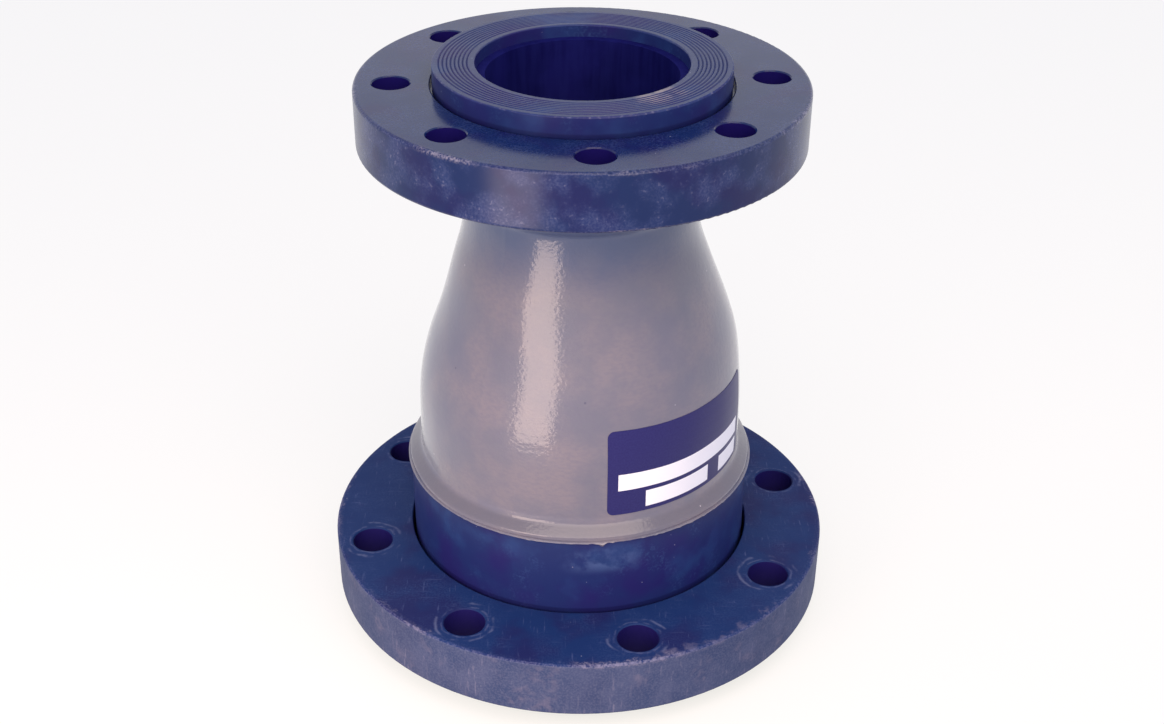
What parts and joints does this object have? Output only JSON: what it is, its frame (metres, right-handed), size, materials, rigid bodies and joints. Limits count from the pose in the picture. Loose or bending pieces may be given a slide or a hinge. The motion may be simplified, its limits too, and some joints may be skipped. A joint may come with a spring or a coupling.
{
  "type": "flanged concentric reducer",
  "caption": "Rigid pipe fitting that steps a flow line down about one axis: a glass-wrapped plastic bell with a grooved socket hub and a free-turning backing ring at each end.",
  "frame": {"origin": "centre of the large gasket face, on the flow axis", "axes": "+Z along the flow axis from the large gasket face to the small one; +X to the right and -Y towards the viewer of the picture"},
  "size_m": [0.2794, 0.2794, 0.3175],
  "materials": {
    "hub_pvc": "moulded, satin",
    "ring_pvc": "moulded, scuffed matte",
    "core_pvc": "moulded, satin",
    "overwrap_resin": "brushed resin coat over glass fibre, semi-gloss"
  },
  "bodies": {
    "reducer": {"large_hub": "hub_pvc", "reducer_core": "core_pvc", "glass_overwrap": "overwrap_resin", "small_hub": "hub_pvc"},
    "large_ring": {"large_ring": "ring_pvc"},
    "small_ring": {"small_ring": "ring_pvc"}
  },
  "joints": [
    {"name": "large_ring_turn", "type": "hinge", "parent": "reducer", "child": "large_ring", "pos_m": [0, 0, 0.0294], "axis": [0, 0, 1], "continuous": true},
    {"name": "small_ring_turn", "type": "hinge", "parent": "reducer", "child": "small_ring", "pos_m": [0, 0, 0.29245], "axis": [0, 0, 1], "continuous": true}
  ]
}
